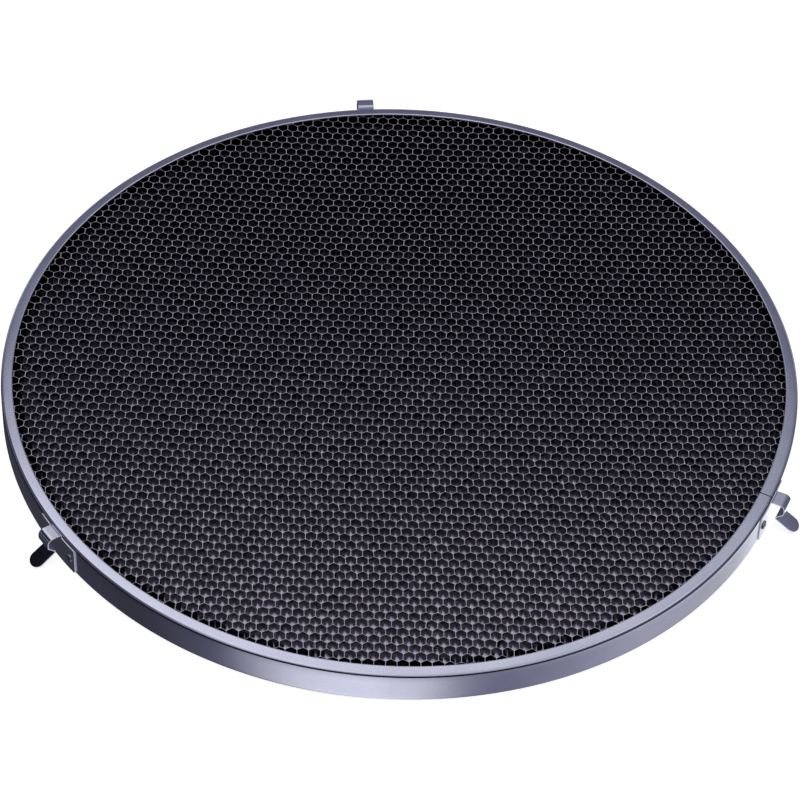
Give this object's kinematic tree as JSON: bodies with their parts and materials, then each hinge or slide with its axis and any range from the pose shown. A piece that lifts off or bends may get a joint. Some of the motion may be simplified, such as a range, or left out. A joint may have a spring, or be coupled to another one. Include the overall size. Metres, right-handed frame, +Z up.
{
  "type": "honeycomb grid",
  "caption": "Round honeycomb light-control grid: channel hoop around an open foil cell core, with riveted spring clips that hook over a reflector dish's rolled lip.",
  "frame": {"origin": "centre of the hoop's underside", "axes": "+Z up through the grid, towards the face the clips hook down from; +Y through one clip, the other two about 120 degrees either side"},
  "size_m": [0.55, 0.5712, 0.026],
  "materials": {
    "hoop_metal": "satin anodised, faint blue-grey",
    "splice_metal": "plain mill finish, hidden",
    "core_foil": "matt black coated foil with bright cut edges",
    "clip_steel": "gloss black enamelled spring steel",
    "rivet_metal": "black dome heads",
    "mandrel_steel": "broken steel stem inside the rivet"
  },
  "bodies": {
    "rim": {"rim_channel": "hoop_metal", "splice_plate": "splice_metal", "honeycomb_core": "core_foil", "clip_back_anchor": "clip_steel", "clip_left_anchor": "clip_steel", "clip_right_anchor": "clip_steel", "rivet_bodies": "rivet_metal", "rivet_mandrels": "mandrel_steel"},
    "clip_back": {"clip_back_hook": "clip_steel"},
    "clip_left": {"clip_left_hook": "clip_steel"},
    "clip_right": {"clip_right_hook": "clip_steel"}
  },
  "joints": [
    {"name": "clip_back_flex", "type": "hinge", "parent": "rim", "child": "clip_back", "pos_m": [-0.00902, 0.27535, 0.012], "axis": [0, 0, 1], "range_deg": [0, 10], "stiffness_Nm_per_rad": 0.6},
    {"name": "clip_left_flex", "type": "hinge", "parent": "rim", "child": "clip_left", "pos_m": [-0.23522, -0.14344, 0.012], "axis": [0, 0, 1], "range_deg": [0, 10], "stiffness_Nm_per_rad": 0.6},
    {"name": "clip_right_flex", "type": "hinge", "parent": "rim", "child": "clip_right", "pos_m": [0.23345, -0.1463, 0.012], "axis": [0, 0, 1], "range_deg": [-10, 0], "stiffness_Nm_per_rad": 0.6}
  ]
}
